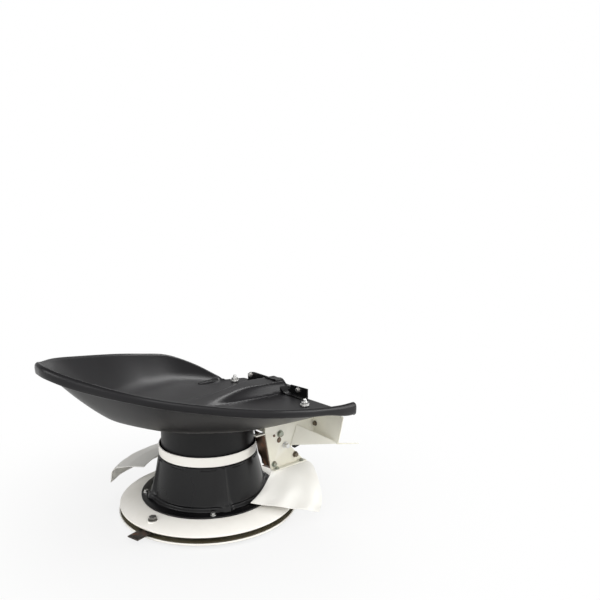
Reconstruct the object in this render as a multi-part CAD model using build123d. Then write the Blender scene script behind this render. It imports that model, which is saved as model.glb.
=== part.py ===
from build123d import *
import math
import os

# Single-drum disc mower attachment for a two-wheeled tractor, in millimetres.
# The origin is on the ground under the drum axis. +X is the way of travel,
# +Y is the machine's left and +Z is up.
os.makedirs("parts", exist_ok=True)

# Clearances
seat_gap = 0.3
hood_gap = 0.9
running_gap = 5.0
bearing_clear = 0.06

# Heights of the cutting unit, from the ground up
dish_edge_z = 11.0
dish_lip_top_z = 17.5
knife_z = 24.0
disc_edge_z = 34.0
disc_inner_z = 58.0
flange_z = 63.0
foot_z = 76.0
shoulder_z = 190.0
band_bottom_z = 194.0
band_top_z = 224.0
collar_bottom_z = 213.0

# Glide dish, the free-turning shoe that the mower stands on
dish_r = 283.0
sole_r = 150.0
dish_t = 3.0
dish_hub_r = 42.0
dish_hub_top_z = 30.0

# Cutting disc and drum
disc_r = 280.0
disc_t = 5.0
disc_rim_h = 6.0
disc_bore_r = 46.0
flange_r = 213.0
flange_t = 4.0
foot_r = 176.0
shoulder_r = 156.0
drum_wall = 4.0
band_r = 155.0
band_t = 3.5
rib_count = 4
rib_start_deg = 72.0
rib_foot_r = 195.0
rib_bend_z = 92.0
rib_bend_r = 184.0
rib_ridge_w = 9.0
notch_count = 10
notch_start_deg = 19.5
notch_w = 48.0
notch_h = 7.0
notch_depth = 2.0

# Rotor shaft and its hub
shaft_r = 20.0
stub_r = 17.5
stub_bottom_z = 8.0
hub_r = 44.0
hub_bottom_z = 46.0
hub_flange_r = 72.0
hub_flange_bottom_z = 42.0
shaft_top_z = 262.0

# Knives, which swing freely on pins at the disc's edge
knife_count = 2
knife_start_deg = 13.0
pin_circle_r = 245.0
knife_tip_r = 325.0
knife_w = 42.0
knife_t = 4.0
knife_tail = 24.0
pin_r = 8.0
pin_collar_r = 14.0
pin_head_r = 13.0
pin_head_h = 5.5
pin_boss_h = 3.8
pin_boss_depth = 6.0
nut_r = 12.0
nut_h = 8.0
pin_play = 0.3

# Collar between drum and hood
collar_r = 146.2
collar_wall = 4.0
collar_web_z = 281.0
collar_web_t = 6.0

# Gearbox, input neck and the flange that bolts to the tractor
gearbox_r = 86.0
gearbox_bottom_z = 236.0
gearbox_top_z = 328.0
gearbox_edge = 8.0
bearing_boss_r = 52.0
bearing_boss_z = 214.0
neck_z = 292.0
neck_r = 42.0
neck_end_x = -318.0
flange_plate_r = 72.0
flange_plate_t = 14.0
flange_flat_h = 52.0
flange_bolt_circle_d = 116.0
flange_bolt_r = 5.5
flange_bolt_count = 4
flange_bolt_start_deg = 45.0
input_bore_r = 24.0
input_bore_depth = 60.0
input_shaft_r = 14.0
input_shaft_len = 108.0
input_shaft_seat = 120.0
claw_r = 20.0
claw_len = 16.0
claw_mid = 20.0

# Hood, a moulded scoop that rises to a nose ahead of the disc
hood_t = 5.0
hood_lip = 25.0
hood_lip_t = 7.0
bowl_x = -20.0
bowl_z = 290.0
bowl_r = 150.0
bowl_power_front = 1.8
bowl_power_left = 1.55
bowl_power_right = 1.75
deck_z = 340.0
deck_slope = 0.05
deck_blend = 24.0
hump_y = -26.0
hump_half_w = 60.0
hump_h = 36.0
hump_front_x = 60.0
hump_run = 260.0
hood_rear_x = -310.0
hood_left_y = 258.0
hood_right_y = 212.0
hood_slot_w = 13.0
hood_slot_x = (-190.0, -130.0)
hood_slot_y = (-226.0, -234.0)

# Crest of the rim from the nose to each rear corner
left_rim = [
    (529, 0, 561),
    (474, 124, 535),
    (374, 272, 505),
    (236, 359, 473),
    (99, 413, 446),
    (-6, 426, 427),
    (-110, 421, 408),
    (-190, 417, 397),
    (-258, 409, 392),
]
right_rim = [
    (529, 0, 561),
    (474, -124, 535),
    (374, -272, 505),
    (236, -359, 473),
    (99, -413, 446),
    (-6, -426, 427),
    (-110, -414, 408),
    (-180, -338, 377),
    (-214, -226, 346),
]

# Steel frame behind the drum
plate_y = 180.0
plate_t = 5.0
plate_front_x = -88.0
plate_shoulder_z = 273.0
plate_toe_x = -111.0
plate_rear_x = -246.0
plate_bottom_z = 147.0
plate_waist_x = -192.0
plate_waist_z = 205.0
plate_arm_z = 225.0
plate_foot_w = 18.0
plate_foot_t = 3.0
plate_hole_r = 7.0
plate_hole_x = -147.0
plate_hole_z = 258.0
tab_len = 34.0
tab_w = 14.0
tab_t = 4.0
flange_under_x = -214.0
flange_under_w = 30.0
flange_under_right_w = 18.0
guard_x = -290.0
guard_t = 3.0
guard_low_z = 219.0
guard_knee_y = 303.0
guard_knee_z = 242.0
guard_left_y = 320.0
guard_left_z = 312.0
guard_right_y = 210.0
brace_top_x = -217.0
brace_top_z = 271.0
brace_tip_x = -300.0
brace_tip_y = 297.0
hem_tip_x = -342.0
hem_tip_y = 338.0
hem_w = 5.0
beam_x = -200.0
beam_w = 30.0
beam_h = 30.0
saddle_w = 70.0
saddle_h = 26.0
buffer_len = 50.0
buffer_h = 11.0
buffer_w = 14.0

# Bracket at the hood's rear edge, and the fixings that hold the hood down
bracket_t = 5.0
bracket_low_z = 324.0
bracket_top_z = 356.0
bracket_right_y = -158.0
bracket_lobe_y = -191.0
bracket_left_y = 129.0
notch_right_y = 0.0
notch_left_y = 45.0
notch_z = 338.0
strap_len = 27.0
strap_t = 4.0
fixing_x = -248.0
fixing_y = 187.0
fixing_r = 14.0
fixing_h = 22.0

# Side guards
side_guard_t = 3.0
side_guard_y = 186.0


def ring(outer_r, inner_r, low_z, high_z):
    """A plain ring about the drum axis."""
    body = Cylinder(outer_r, high_z - low_z) - Cylinder(inner_r, high_z - low_z)
    return Pos(0, 0, (low_z + high_z) / 2) * body


def disk(radius, low_z, high_z):
    """A plain cylinder about the drum axis."""
    return Pos(0, 0, (low_z + high_z) / 2) * Cylinder(radius, high_z - low_z)


def block(x_range, y_range, z_range):
    """A box between two values on each axis."""
    middle = [(low + high) / 2 for low, high in (x_range, y_range, z_range)]
    size = [abs(high - low) for low, high in (x_range, y_range, z_range)]
    return Pos(*middle) * Box(*size)


def turned(points):
    """Revolves a closed outline of (radius, height) points about the drum axis."""
    outline = make_face(Plane.XZ * Polyline(*points, close=True))
    return revolve(outline, Axis.Z, 360)


def polar(radius, degrees, z):
    """A point at a radius and bearing from the drum axis."""
    angle = math.radians(degrees)
    return Vector(radius * math.cos(angle), radius * math.sin(angle), z)


def smooth(value):
    """A step from 0 to 1 with level ends."""
    value = min(max(value, 0.0), 1.0)
    return value * value * (3 - 2 * value)


# Glide dish: a shallow pan with a rolled lip, and a hub that turns on the stub
dish_bore_r = stub_r + bearing_clear
glide_dish = turned([
    (dish_bore_r, 0),
    (sole_r, 0),
    (dish_r, dish_edge_z),
    (dish_r, dish_lip_top_z),
    (dish_r - dish_t, dish_lip_top_z),
    (dish_r - dish_t, dish_edge_z + dish_t),
    (sole_r, dish_t),
    (dish_hub_r, dish_t),
    (dish_hub_r - 4, dish_hub_top_z),
    (dish_bore_r, dish_hub_top_z),
])
glide_dish += disk(dish_bore_r, 0, dish_t)

# Cutting disc: a pressed cone with a stiff edge
disc_slope_r = flange_r + 6
cutting_disc = turned([
    (disc_bore_r, disc_inner_z - disc_t),
    (disc_slope_r, disc_inner_z - disc_t),
    (disc_r, disc_edge_z),
    (disc_r, disc_edge_z + disc_rim_h),
    (disc_slope_r, disc_inner_z),
    (disc_bore_r, disc_inner_z),
])

# Drum: a flanged, slightly conical shell
neck_ring_r = band_r - band_t - 0.2
drum_top_z = collar_bottom_z - running_gap
drum_shell = turned([
    (disc_bore_r, disc_inner_z),
    (flange_r, disc_inner_z),
    (flange_r, flange_z),
    (foot_r + 8, flange_z + 2),
    (foot_r, foot_z),
    (shoulder_r, shoulder_z),
    (neck_ring_r, band_bottom_z - seat_gap),
    (neck_ring_r, drum_top_z),
    (hub_r, drum_top_z),
    (hub_r, drum_top_z - drum_wall),
    (neck_ring_r - drum_wall, drum_top_z - drum_wall),
    (neck_ring_r - drum_wall, band_bottom_z - drum_wall),
    (foot_r - drum_wall, foot_z),
    (foot_r - drum_wall, disc_inner_z + flange_t),
    (disc_bore_r, disc_inner_z + flange_t),
])


# Buttress ribs: each flares from a narrow ridge at the shoulder to a broad foot
def rib_section(z, wall_r, ridge_r, spread):
    """A rib's cross-section: a ridge between two flanks that run into the wall."""
    ridge = rib_ridge_w / 2
    outline = Polyline(
        (wall_r - drum_wall, -spread, z),
        (ridge_r, -ridge, z),
        (ridge_r, ridge, z),
        (wall_r - drum_wall, 0.7 * spread, z),
        close=True,
    )
    return make_face(outline)


rib_top_z = shoulder_z - 3
rib = loft([
    rib_section(flange_z - 1, foot_r, rib_foot_r, 46),
    rib_section(rib_bend_z, foot_r, rib_bend_r, 32),
    rib_section(rib_top_z, shoulder_r, shoulder_r + 4, 20),
], ruled=True)
for index in range(rib_count):
    drum_shell += Rot(0, 0, rib_start_deg + 360 / rib_count * index) * rib

# Notches pressed in under the band
for index in range(notch_count):
    bearing = notch_start_deg + 360 / notch_count * index
    dent = Pos(shoulder_r, 0, shoulder_z - notch_h / 2 - 1) * Box(2 * notch_depth, notch_w, notch_h)
    drum_shell -= Rot(0, 0, bearing) * dent

drum_band = ring(band_r, band_r - band_t, band_bottom_z, band_top_z)

# Rotor shaft: the hub between drum and disc, the driven end and the dish stub
rotor_shaft = disk(hub_r - 0.2, hub_bottom_z, drum_top_z) + disk(shaft_r, drum_top_z, shaft_top_z)
rotor_shaft += disk(hub_flange_r, hub_flange_bottom_z, disc_inner_z - disc_t)
rotor_shaft += disk(stub_r, stub_bottom_z, hub_bottom_z)


# Knives and their pins, each with a boss on the disc
def disc_under(radius):
    """Height of the disc's underside at a radius."""
    share = (disc_r - radius) / (disc_r - disc_slope_r)
    return disc_edge_z + share * (disc_inner_z - disc_t - disc_edge_z)


pin_under_z = disc_under(pin_circle_r)
pin_nut_z = pin_under_z + disc_t + pin_boss_h + 0.2


def knife_pin():
    """One stepped pin at the drum axis: head, journal, spacer collar and nut."""
    pin = disk(pin_head_r, knife_z - pin_play - pin_head_h, knife_z - pin_play)
    pin += disk(pin_r, knife_z - pin_play, pin_nut_z)
    pin += disk(pin_collar_r, knife_z + knife_t + pin_play, pin_under_z - pin_boss_depth)
    return pin + Pos(0, 0, pin_nut_z) * extrude(RegularPolygon(nut_r, 6), nut_h)


def knife():
    """One blade with its hole at the drum axis, a round tail and a square tip."""
    reach = knife_tip_r - pin_circle_r
    blank = block((-knife_tail, reach), (-knife_w / 2, knife_w / 2), (knife_z, knife_z + knife_t))
    blank = fillet(blank.edges().filter_by(Axis.Z).group_by(Axis.X)[0], knife_w / 2 - 3)
    return blank - disk(pin_r + bearing_clear, 0, disc_edge_z)


knife_pins = []
knives = []
for index in range(knife_count):
    bearing = knife_start_deg + 360 / knife_count * index
    place = Rot(0, 0, bearing) * Pos(pin_circle_r, 0, 0)
    bore = place * disk(pin_r + 0.1, 0, flange_z)
    boss = disk(pin_collar_r + 1, pin_under_z - pin_boss_depth, pin_under_z + disc_t + pin_boss_h)
    cutting_disc += place * boss
    cutting_disc -= bore
    knife_pins.append(place * knife_pin())
    knives.append(place * knife())


# Hood surface: a bowl that runs out to the rim, met by a flat deck that slopes to the rear
def deck_height(x):
    """Height of the deck's upper face."""
    return deck_z + deck_slope * x


def rear_edge(side):
    """The hood's edge behind one rear corner, as (x, y, height below which nothing rises)."""
    if side > 0:
        corners = [(-285, 345, 354), (-306, 290, 320), (hood_rear_x, hood_left_y, 312)]
    else:
        corners = [(-222, -222, 338), (hood_rear_x, -hood_right_y, 302)]
    return corners + [(hood_rear_x, 0, 294)]


def edge_samples(rim, side):
    """Bearing, radius and height of the hood's edge on one side, about the bowl's centre."""
    last_leg = Vector(*rim[-1]) - Vector(*rim[-2])
    curve = Spline(*rim, tangents=[(0, side, 0), last_leg])
    points = [curve @ (step / 60) for step in range(61)]
    for corner in rear_edge(side):
        start = points[-1]
        points += [start + (Vector(*corner) - start) * (step / 8) for step in range(1, 9)]
    samples = []
    for point in points:
        bearing = math.atan2(abs(point.Y), point.X - bowl_x)
        samples.append((bearing, math.hypot(point.X - bowl_x, point.Y), point.Z))
    return samples


left_edge = edge_samples(left_rim, 1)
right_edge = edge_samples(right_rim, -1)


def edge_at(x, y):
    """Bearing, radius and height of the hood's edge in the direction of (x, y)."""
    samples = left_edge if y >= 0 else right_edge
    bearing = math.atan2(abs(y), x - bowl_x)
    for before, after in zip(samples, samples[1:]):
        if before[0] <= bearing <= after[0]:
            share = (bearing - before[0]) / (after[0] - before[0])
            radius = before[1] + share * (after[1] - before[1])
            return bearing, radius, before[2] + share * (after[2] - before[2])
    return bearing, samples[-1][1], samples[-1][2]


def hood_height(x, y):
    """Height of the hood's upper surface."""
    bearing, radius, edge_z = edge_at(x, y)
    inner = bowl_r / radius
    share = max(math.hypot(x - bowl_x, y) / radius - inner, 0.0) / (1 - inner)
    side_power = bowl_power_left if y >= 0 else bowl_power_right
    front = smooth((math.cos(bearing) + 0.2) / 0.9)
    power = side_power + (bowl_power_front - side_power) * front
    bowl = bowl_z + (edge_z - bowl_z) * share ** power
    deck = deck_height(x)
    mix = min(max(0.5 + 0.5 * (bowl - deck) / deck_blend, 0.0), 1.0)
    height = deck * (1 - mix) + bowl * mix + deck_blend * mix * (1 - mix)
    along = smooth((hump_front_x - x) / hump_run)
    across = max(0.0, 1 - ((y - hump_y) / hump_half_w) ** 2)
    return height + hump_h * along * smooth(1.6 * across)


grid_x = [-330 + 890 * step / 34 for step in range(35)]
grid_y = [-450 + 900 * step / 36 for step in range(37)]
grid = [[Vector(x, y, hood_height(x, y)) for y in grid_y] for x in grid_x]
skin = Face.make_surface_from_array_of_points(grid, tol=0.4, min_deg=3, max_deg=3)


def half_outline(rim, side, inset):
    """One side of the hood's plan from nose to rear corner, moved inwards by an inset."""
    last_leg = Vector(rim[-1][0] - rim[-2][0], rim[-1][1] - rim[-2][1])
    flat = Spline(*[(x, y) for x, y, z in rim], tangents=[(0, side), last_leg])
    points = []
    for step in range(13):
        along = flat % (step / 12)
        inward = Vector(-along.Y, along.X) * side
        points.append((flat @ (step / 12)) + inward * inset)
    return Spline(*points, tangents=[(0, side), flat % 1])


def hood_prism(inset, rear_reach):
    """The hood's plan as a tall prism, open towards the rear by a reach."""
    left = half_outline(left_rim, 1, inset)
    right = half_outline(right_rim, -1, inset)
    left_corners = [(x - rear_reach, y) for x, y, z in rear_edge(1)[:-1]]
    right_corners = [(x - rear_reach, y) for x, y, z in rear_edge(-1)[:-1]]
    rear = Polyline(left @ 1, *left_corners, *reversed(right_corners), right @ 1)
    return Pos(0, 0, 200) * extrude(make_face([left, right, rear]), 500)


hood = extrude(skin, hood_lip, dir=(0, 0, -1)) & hood_prism(0, 0)
pocket = extrude(Pos(0, 0, -hood_t) * skin, hood_lip, dir=(0, 0, -1))
hood -= pocket & hood_prism(hood_lip_t, 60)

# Slot moulded through the foot of the right wall
slot_start = Vector(hood_slot_x[0], hood_slot_y[0])
slot_end = Vector(hood_slot_x[1], hood_slot_y[1])
slot = SlotCenterToCenter((slot_end - slot_start).length, hood_slot_w)
slot_turn = math.degrees(math.atan2(slot_end.Y - slot_start.Y, slot_end.X - slot_start.X))
slot_mid = (slot_start + slot_end) * 0.5
hood -= Pos(slot_mid.X, slot_mid.Y, bowl_z) * Rot(0, 0, slot_turn) * extrude(slot, 200)


def under_deck(drop):
    """Everything below a plane that lies under the deck's upper face by a drop."""
    tilt = math.degrees(math.atan(deck_slope))
    return Pos(0, 0, deck_z - drop) * Rot(0, -tilt, 0) * Pos(0, 0, -500) * Box(2000, 2000, 1000)


def deck_seat(x):
    """Height at which a piece under the deck stops."""
    return deck_height(x) - hood_t - hood_gap


# Collar: the fixed shroud between the drum and the hood, hung from the gearbox
neck_len = -neck_end_x
neck_place = Pos(neck_end_x, 0, neck_z) * Rot(0, 90, 0)
collar = ring(collar_r, collar_r - collar_wall, collar_bottom_z, deck_z + 60)
collar += ring(collar_r - 1, gearbox_r + 0.2, collar_web_z, collar_web_z + collar_web_t)
collar &= under_deck(hood_t + hood_gap)
collar -= neck_place * Pos(0, 0, neck_len / 2) * Cylinder(neck_r + 0.2, neck_len)

# Gearbox with its bearing boss and the input neck
gearbox = disk(gearbox_r, gearbox_bottom_z, gearbox_top_z)
gearbox = chamfer(gearbox.edges().group_by(Axis.Z)[-1], gearbox_edge)
gearbox += disk(bearing_boss_r, bearing_boss_z, gearbox_bottom_z)
gearbox += neck_place * Pos(0, 0, neck_len / 2) * Cylinder(neck_r, neck_len)
gearbox -= disk(shaft_r + bearing_clear, bearing_boss_z, shaft_top_z + running_gap)
gearbox -= neck_place * Pos(0, 0, input_bore_depth / 2) * Cylinder(input_bore_r, input_bore_depth)
shaft_seat = Cylinder(input_shaft_r + bearing_clear, input_shaft_seat)
gearbox -= neck_place * Pos(0, 0, input_shaft_seat / 2) * shaft_seat

# Flange that bolts to the tractor, cut flat at the top
flange_place = neck_place * Pos(0, 0, -flange_plate_t / 2)
coupling_flange = flange_place * (
    Cylinder(flange_plate_r, flange_plate_t) - Cylinder(input_bore_r, flange_plate_t))
flange_span = (-flange_plate_r, flange_plate_r)
coupling_flange -= block(
    (neck_end_x - flange_plate_t, neck_end_x), flange_span,
    (neck_z + flange_flat_h, neck_z + flange_plate_r))
for index in range(flange_bolt_count):
    angle = math.radians(flange_bolt_start_deg + 360 / flange_bolt_count * index)
    hole_y = flange_bolt_circle_d / 2 * math.cos(angle)
    hole_z = flange_bolt_circle_d / 2 * math.sin(angle)
    bolt_hole = Rot(0, 90, 0) * Cylinder(flange_bolt_r, 3 * flange_plate_t)
    coupling_flange -= Pos(neck_end_x, hole_y, neck_z + hole_z) * bolt_hole

# Input shaft with its claw
shaft_len = input_shaft_len + flange_plate_t
input_shaft = neck_place * Pos(0, 0, shaft_len / 2 - flange_plate_t) * Cylinder(input_shaft_r, shaft_len)
input_shaft += neck_place * Pos(0, 0, claw_mid) * Cylinder(claw_r, claw_len)

# Frame behind the drum
arm_x = guard_x + guard_t / 2 + 0.2
plate_face_y = plate_y + plate_t / 2


def side_plate(side):
    """A cheek plate with a foot, a flange under the deck and an arm to the rear guard."""
    outline = [
        (plate_front_x, deck_seat(plate_front_x)),
        (plate_front_x, plate_shoulder_z),
        (plate_toe_x, plate_bottom_z),
        (plate_rear_x, plate_bottom_z),
        (plate_waist_x, plate_waist_z),
        (arm_x, plate_arm_z),
        (arm_x, deck_seat(arm_x)),
    ]
    web = extrude(make_face(Plane.XZ * Polyline(*outline, close=True)), plate_t / 2, both=True)
    web -= Pos(plate_hole_x, 0, plate_hole_z) * Rot(90, 0, 0) * Cylinder(plate_hole_r, 2 * plate_t)
    plate = Pos(0, side * plate_y, 0) * web
    foot_z_range = (plate_bottom_z, plate_bottom_z + plate_foot_t)
    foot_y_range = (side * plate_y, side * (plate_y + plate_foot_w))
    plate += block((plate_rear_x, plate_toe_x), foot_y_range, foot_z_range)
    tab_y_range = (side * (plate_face_y - tab_w), side * plate_face_y)
    tab_z_range = (plate_shoulder_z - tab_t, plate_shoulder_z)
    plate += block((plate_front_x - plate_t, plate_front_x + tab_len), tab_y_range, tab_z_range)
    lug_w = flange_under_w if side > 0 else flange_under_right_w
    lug_y_range = (side * plate_y, side * (plate_face_y + lug_w))
    lug = block((arm_x, flange_under_x), lug_y_range, (deck_seat(arm_x) - plate_t, deck_z))
    return plate + (lug & under_deck(hood_t + hood_gap))


side_plates = [side_plate(1), side_plate(-1)]

# Cross beam that carries the neck in a saddle between the cheek plates
beam_top_z = neck_z - neck_r - 3
beam_x_range = (beam_x - beam_w / 2, beam_x + beam_w / 2)
beam_half_len = plate_y - plate_t / 2 - 0.2
cross_beam = block(beam_x_range, (-beam_half_len, beam_half_len), (beam_top_z - beam_h, beam_top_z))
cross_beam += block(
    beam_x_range, (-saddle_w / 2, saddle_w / 2), (beam_top_z - 1, beam_top_z - 1 + saddle_h))
cross_beam -= neck_place * Pos(0, 0, neck_len / 2) * Cylinder(neck_r + 0.2, neck_len + 10)

# Rear guard: a web across the back, braced to the cheek plates by two triangular leaves
guard_top_z = deck_seat(guard_x) - hood_gap
guard_outline = [
    (-guard_right_y, guard_top_z),
    (-guard_right_y, guard_low_z),
    (brace_tip_y, guard_low_z),
    (guard_knee_y, guard_knee_z),
    (guard_left_y, guard_left_z),
    (guard_left_y - 12, guard_top_z),
]
guard_face = make_face(Plane.YZ * Polyline(*guard_outline, close=True))
rear_guard = Pos(guard_x, 0, 0) * extrude(guard_face, guard_t / 2, both=True)
neck_gap_y = neck_r + 0.2
rear_guard -= block(
    (guard_x - guard_t, guard_x + guard_t), (-neck_gap_y, neck_gap_y),
    (neck_z - neck_gap_y, guard_top_z + 50))


def leaf(corners):
    """A flat three-cornered plate, thickened towards the front."""
    flat = make_face(Polyline(*corners, close=True)).face()
    normal = flat.normal_at()
    return extrude(flat, guard_t, dir=normal if normal.X > 0 else -normal)


leaf_y = plate_face_y + seat_gap
for side, tip_x, tip_y in ((1, brace_tip_x, brace_tip_y), (-1, guard_x, guard_right_y)):
    rear_guard += leaf([
        (brace_top_x, side * leaf_y, brace_top_z),
        (plate_waist_x, side * leaf_y, plate_waist_z + 4),
        (tip_x, side * tip_y, guard_low_z),
    ])
hem = make_face(Polyline(
    (guard_x, brace_tip_y - hem_w),
    (hem_tip_x, hem_tip_y - hem_w / 2),
    (hem_tip_x, hem_tip_y),
    (guard_x, brace_tip_y),
    close=True,
))
rear_guard += Pos(0, 0, guard_low_z) * extrude(hem, guard_t)

# Rubber buffers under the arms of the cheek plates
arm_rise = math.degrees(math.atan2(plate_arm_z - plate_waist_z, plate_waist_x - arm_x))
buffers = []
for side in (1, -1):
    pad = Box(buffer_len, buffer_w, buffer_h)
    pad = Pos(-buffer_len / 2 - buffer_h, 0, -buffer_h / 2 - seat_gap) * pad
    buffers.append(Pos(plate_waist_x, side * plate_y, plate_waist_z) * Rot(0, arm_rise, 0) * pad)


# Bracket over the hood's rear edge: a notched upright and a strap that follows the deck
def hood_top(x, y, reach):
    """Highest point of the hood's upper surface within reach of (x, y)."""
    return max(hood_height(x + i * reach, y + j * reach) for i in (-1, 0, 1) for j in (-1, 0, 1))


upright_outline = [
    (bracket_lobe_y, bracket_low_z),
    (bracket_lobe_y, bracket_low_z + 20),
    (bracket_lobe_y + 12, bracket_top_z - 4),
    (bracket_right_y, bracket_top_z),
    (notch_right_y, bracket_top_z),
    (notch_right_y, notch_z),
    (notch_left_y, notch_z),
    (notch_left_y, bracket_top_z - 2),
    (bracket_left_y, bracket_top_z + 1),
    (bracket_left_y, bracket_low_z),
]
upright_face = make_face(Plane.YZ * Polyline(*upright_outline, close=True))
upright_x = hood_rear_x - seat_gap
hitch_bracket = Pos(upright_x - bracket_t / 2, 0, 0) * extrude(upright_face, bracket_t / 2, both=True)
hitch_bracket -= neck_place * Pos(0, 0, neck_len / 2) * Cylinder(neck_r + seat_gap, neck_len + 10)
strap = extrude(Pos(0, 0, seat_gap) * skin, strap_t, dir=(0, 0, 1))
strap &= block((upright_x - bracket_t, hood_rear_x + strap_len), (bracket_right_y, bracket_left_y), (0, 600))
hitch_bracket += strap

# Fixings: a stepped knob on each side of the deck
hood_fixings = []
for side in (1, -1):
    knob = turned([
        (0, 0),
        (fixing_r, 0),
        (fixing_r, 3),
        (fixing_r - 5, 4),
        (fixing_r - 9, fixing_h),
        (0, fixing_h),
    ])
    seat_z = hood_top(fixing_x, side * fixing_y, fixing_r * 0.7)
    hood_fixings.append(Pos(fixing_x, side * fixing_y, seat_z + hood_gap) * knob)

# Side guards: sheets that hang from the feet of the cheek plates
hang_z = plate_bottom_z - seat_gap
left_inner = Spline(
    (plate_toe_x + 4, side_guard_y, hang_z), (-95, side_guard_y, 125), (-62, 192, 96), (-10, 202, 76))
left_outer = Spline(
    (plate_rear_x, side_guard_y, hang_z), (-262, 215, 138), (-255, 255, 118),
    (-235, 300, 92), (-205, 330, 66), (-165, 350, 52))
left_rows = []
for i in range(6):
    u = i / 5
    row = []
    for j in range(7):
        v = j / 6
        lift = 12 * math.sin(math.pi * v) * math.sin(math.pi * u)
        row.append((left_inner @ v) * (1 - u) + (left_outer @ v) * u + Vector(0, lift, lift / 2))
    left_rows.append(row)
left_sheet = Face.make_surface_from_array_of_points(left_rows, tol=1.0, min_deg=3, max_deg=3)
guard_left = thicken(left_sheet, side_guard_t)

right_rows = []
for i in range(9):
    u = i / 8
    bearing = -50 - 72 * u
    inner = polar(216 - 6 * u, bearing, 118 + 26 * u)
    fold = polar(327, bearing, 104 + 16 * u)
    hem_point = polar(333, bearing, 56 + 10 * u)
    inner_mid = inner + (fold - inner) * 0.5 + Vector(0, 0, 5)
    fold_in = inner + (fold - inner) * 0.86 + Vector(0, 0, 3)
    right_rows.append([inner, inner_mid, fold_in, fold + Vector(0, 0, -9), hem_point])
right_sheet = Face.make_surface_from_array_of_points(right_rows, tol=0.5, min_deg=3, max_deg=3)
guard_right = thicken(right_sheet, side_guard_t)

nodes = {
    "glide_dish": glide_dish,
    "cutting_disc": cutting_disc,
    "drum_shell": drum_shell,
    "drum_band": drum_band,
    "rotor_shaft": rotor_shaft,
    "knife_pins": Compound(knife_pins),
    "knife_front": knives[0],
    "knife_rear": knives[1],
    "collar": collar,
    "gearbox": gearbox,
    "coupling_flange": coupling_flange,
    "input_shaft": input_shaft,
    "hood": hood,
    "side_plate_left": side_plates[0],
    "side_plate_right": side_plates[1],
    "rear_guard": rear_guard,
    "cross_beam": cross_beam,
    "buffers": Compound(buffers),
    "hitch_bracket": hitch_bracket,
    "hood_fixings": Compound(hood_fixings),
    "guard_left": guard_left,
    "guard_right": guard_right,
}
for name, shape in nodes.items():
    export_step(shape, f"parts/{name}.step")
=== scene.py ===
import math

import bmesh
import bpy
from mathutils import Matrix, Vector, noise
from mathutils.bvhtree import BVHTree


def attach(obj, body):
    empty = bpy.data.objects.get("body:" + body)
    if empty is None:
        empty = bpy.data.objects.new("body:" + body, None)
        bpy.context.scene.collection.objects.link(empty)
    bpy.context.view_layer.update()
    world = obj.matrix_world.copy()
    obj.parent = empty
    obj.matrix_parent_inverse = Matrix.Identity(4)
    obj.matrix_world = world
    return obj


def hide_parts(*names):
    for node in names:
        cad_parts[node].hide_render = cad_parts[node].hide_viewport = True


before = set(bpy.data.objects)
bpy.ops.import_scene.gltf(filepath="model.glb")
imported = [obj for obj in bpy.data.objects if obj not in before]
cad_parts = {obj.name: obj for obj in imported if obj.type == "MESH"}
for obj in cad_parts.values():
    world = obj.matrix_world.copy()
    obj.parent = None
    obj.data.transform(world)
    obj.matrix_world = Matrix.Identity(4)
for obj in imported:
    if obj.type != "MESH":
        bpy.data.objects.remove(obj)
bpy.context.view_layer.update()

# Room for the picture: a pale floor that turns to plain white away from the mower, and
# four softboxes: a broad one above the camera, a narrow one high at the back, a tall one
# to the camera's right and a low one ahead. The camera stands ahead of the left side.
camera_place = Vector((1.237, 1.826, 1.054))
camera_yaw = 228.22
camera_pitch = 9.81
camera_lens = 43.15


class Wire:
    """A socket in a material's node tree. Arithmetic on it adds Math nodes."""

    def __init__(self, tree, socket=None):
        self.tree = tree
        self.socket = socket

    def node(self, kind, settings, feeds, out=0):
        """Adds a node, sets it up, feeds its sockets and returns one of its outputs."""
        made = self.tree.nodes.new("ShaderNode" + kind)
        for name, value in settings.items():
            setattr(made, name, value)
        for name, value in feeds.items():
            if isinstance(value, Wire):
                self.tree.links.new(value.socket, made.inputs[name])
            elif isinstance(value, tuple) and made.inputs[name].type == "RGBA":
                made.inputs[name].default_value = (*value, 1)
            else:
                made.inputs[name].default_value = value
        return Wire(self.tree, made.outputs[out])

    def math(self, operation, first, second):
        """A Math node's answer."""
        return self.node("Math", {"operation": operation}, {0: first, 1: second})

    def blend(self, factor, first, second):
        """A mix of two colours."""
        return self.node("Mix", {"data_type": "RGBA"}, {0: factor, 6: first, 7: second}, 2)

    def ease(self, value, start, end, low, high):
        """A number that runs from low to high, with level ends, as a value runs from start to end."""
        return self.node("MapRange", {"interpolation_type": "SMOOTHSTEP"},
                         {"Value": value, "From Min": start, "From Max": end, "To Min": low, "To Max": high})

    def specks(self, place, scale, detail):
        """Noise from 0 to 1, at a scale in features per metre."""
        return self.node("TexNoise", {}, {"Vector": place, "Scale": scale, "Detail": detail})

    def surface(self, shader, kind="OutputMaterial"):
        """Ends the tree in a shader."""
        output = self.tree.nodes.new("ShaderNode" + kind)
        self.tree.links.new(shader.socket, output.inputs["Surface"])

    def __add__(self, other):
        return self.math("ADD", self, other)

    def __radd__(self, other):
        return self.math("ADD", other, self)

    def __sub__(self, other):
        return self.math("SUBTRACT", self, other)

    def __rsub__(self, other):
        return self.math("SUBTRACT", other, self)

    def __mul__(self, other):
        return self.math("MULTIPLY", self, other)

    def __rmul__(self, other):
        return self.math("MULTIPLY", other, self)


def new_material(name):
    """An empty material, and its tree as a Wire."""
    material = bpy.data.materials.new(name)
    material.use_nodes = True
    material.node_tree.nodes.clear()
    return material, Wire(material.node_tree)


def put(name, data):
    """An object of a mesh, a lamp or a camera, in the scene."""
    made = bpy.data.objects.new(name, data)
    bpy.context.scene.collection.objects.link(made)
    return made


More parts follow.
